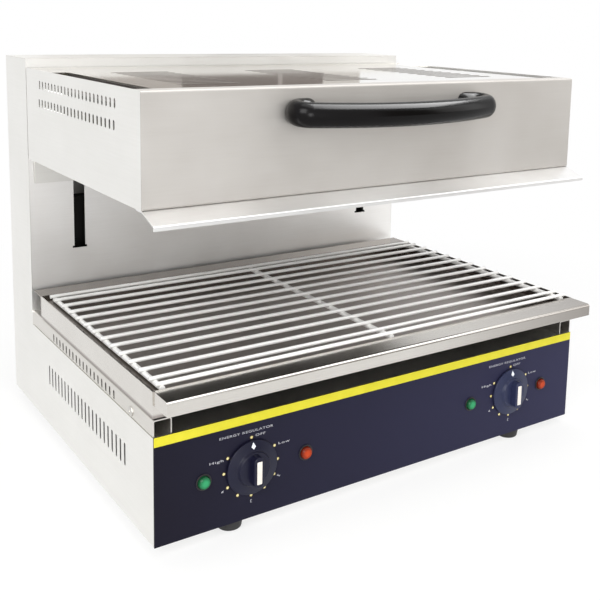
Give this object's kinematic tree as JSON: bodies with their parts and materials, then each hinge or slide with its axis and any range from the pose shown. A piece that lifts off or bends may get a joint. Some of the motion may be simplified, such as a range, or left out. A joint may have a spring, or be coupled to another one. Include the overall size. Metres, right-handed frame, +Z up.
{
  "type": "salamander grill",
  "caption": "Countertop electric salamander grill: a rise-and-fall hood on a rear mast over a wire grid and a pull-out drip tray, with energy regulator dials on a dark fascia.",
  "frame": {"origin": "middle of the grill's bounding box, at the table under its feet", "axes": "+X to the right seen from the front, +Y from the fascia to the mast, +Z up"},
  "size_m": [0.603, 0.515, 0.48],
  "materials": {
    "brushed_stainless": "brushed stainless sheet",
    "polished_stainless": "polished stainless sheet",
    "bright_wire": "bright drawn and welded wire",
    "navy_enamel": "navy screen-printed enamel",
    "yellow_vinyl": "yellow printed stripe",
    "black_phenolic": "glossy black moulding",
    "white_plastic": "white insert",
    "green_lens": "translucent green lens",
    "red_lens": "translucent orange-red lens",
    "black_rubber": "moulded rubber",
    "zinc_screw": "zinc-plated screw",
    "ground_steel": "hard-chromed ground bar",
    "mild_steel": "plated mild steel",
    "bronze": "sintered bronze",
    "steel_rope": "wire rope",
    "cast_iron": "plain casting",
    "cast_aluminium": "turned aluminium",
    "pale_phenolic": "heat-resistant moulding",
    "black_nylon": "black nylon",
    "mineral_wool": "mineral wool slab",
    "alloy_sheath": "dark heat-resistant alloy"
  },
  "bodies": {
    "base": {"base_floor": "brushed_stainless", "base_deck": "brushed_stainless", "feet": "black_rubber", "control_fascia": "navy_enamel", "fascia_stripe": "yellow_vinyl", "rail_screws": "zinc_screw", "green_lamps": "green_lens", "red_lamps": "red_lens", "lamp_holders": "pale_phenolic", "terminal_block": "pale_phenolic", "cable_gland": "black_nylon", "mast_front_panel": "brushed_stainless", "mast_top_cap": "brushed_stainless", "back_cover": "brushed_stainless", "back_cover_screws": "zinc_screw", "guide_rods": "ground_steel", "weight_guide_rods": "ground_steel", "guide_cross_members": "mild_steel", "pulley_brackets": "mild_steel", "pulley_pins": "ground_steel", "lift_ropes": "steel_rope", "base_side_left": "brushed_stainless", "base_side_right": "brushed_stainless", "tray_rail_left": "brushed_stainless", "tray_rail_right": "brushed_stainless", "energy_regulator_left": "pale_phenolic", "energy_regulator_right": "pale_phenolic", "mast_side_left": "brushed_stainless", "mast_side_right": "brushed_stainless"},
    "hood": {"hood_front_panel": "brushed_stainless", "hood_deck": "polished_stainless", "hood_rear_plate": "brushed_stainless", "hood_visor": "polished_stainless", "hood_side_left": "brushed_stainless", "hood_side_right": "brushed_stainless", "reflector": "polished_stainless", "insulation": "mineral_wool", "heating_element_left": "alloy_sheath", "heating_element_right": "alloy_sheath", "element_supports": "mild_steel", "handle": "black_phenolic", "handle_screws": "zinc_screw", "carriage_plate": "mild_steel", "carriage_arms": "mild_steel", "rope_lugs": "mild_steel", "bearing_blocks": "mild_steel", "guide_bushes": "bronze"},
    "counterweight": {"counterweight": "cast_iron"},
    "pulley_left": {"pulley_left": "cast_aluminium"},
    "pulley_right": {"pulley_right": "cast_aluminium"},
    "tray": {"drip_tray": "polished_stainless", "grid_ledges": "polished_stainless", "tray_runners": "polished_stainless"},
    "grid": {"wire_grid": "bright_wire"},
    "knob_left": {"knob_left": "black_phenolic", "knob_insert_left": "white_plastic", "spindle_left": "ground_steel"},
    "knob_right": {"knob_right": "black_phenolic", "knob_insert_right": "white_plastic", "spindle_right": "ground_steel"}
  },
  "joints": [
    {"name": "hood_lift", "type": "slide", "parent": "base", "child": "hood", "axis": [0, 0, 1], "range_m": [-0.13, 0], "deforming": ["lift_ropes"]},
    {"name": "counterweight_lift", "type": "slide", "parent": "base", "child": "counterweight", "axis": [0, 0, 1], "range_m": [0, 0.13]},
    {"name": "tray_slide", "type": "slide", "parent": "base", "child": "tray", "axis": [0, -1, 0], "range_m": [0, 0.18]},
    {"name": "grid_lift", "type": "slide", "parent": "tray", "child": "grid", "axis": [0, 0, 1], "range_m": [0, 0.02]},
    {"name": "pulley_left_turn", "type": "hinge", "parent": "base", "child": "pulley_left", "pos_m": [-0.12, 0.21, 0.444], "axis": [1, 0, 0], "range_deg": [0, 360]},
    {"name": "knob_left_turn", "type": "hinge", "parent": "base", "child": "knob_left", "pos_m": [-0.19, -0.2275, 0.07], "axis": [0, 1, 0], "range_deg": [0, 300]},
    {"name": "pulley_right_turn", "type": "hinge", "parent": "base", "child": "pulley_right", "pos_m": [0.12, 0.21, 0.444], "axis": [1, 0, 0], "range_deg": [0, 360]},
    {"name": "knob_right_turn", "type": "hinge", "parent": "base", "child": "knob_right", "pos_m": [0.19, -0.2275, 0.07], "axis": [0, 1, 0], "range_deg": [0, 300]}
  ],
  "couplings": [
    {"joint": "counterweight_lift", "follows": "hood_lift", "ratio": -1},
    {"joint": "pulley_left_turn", "follows": "hood_lift", "rad_per_m": -47.619},
    {"joint": "pulley_right_turn", "follows": "hood_lift", "rad_per_m": -47.619}
  ]
}
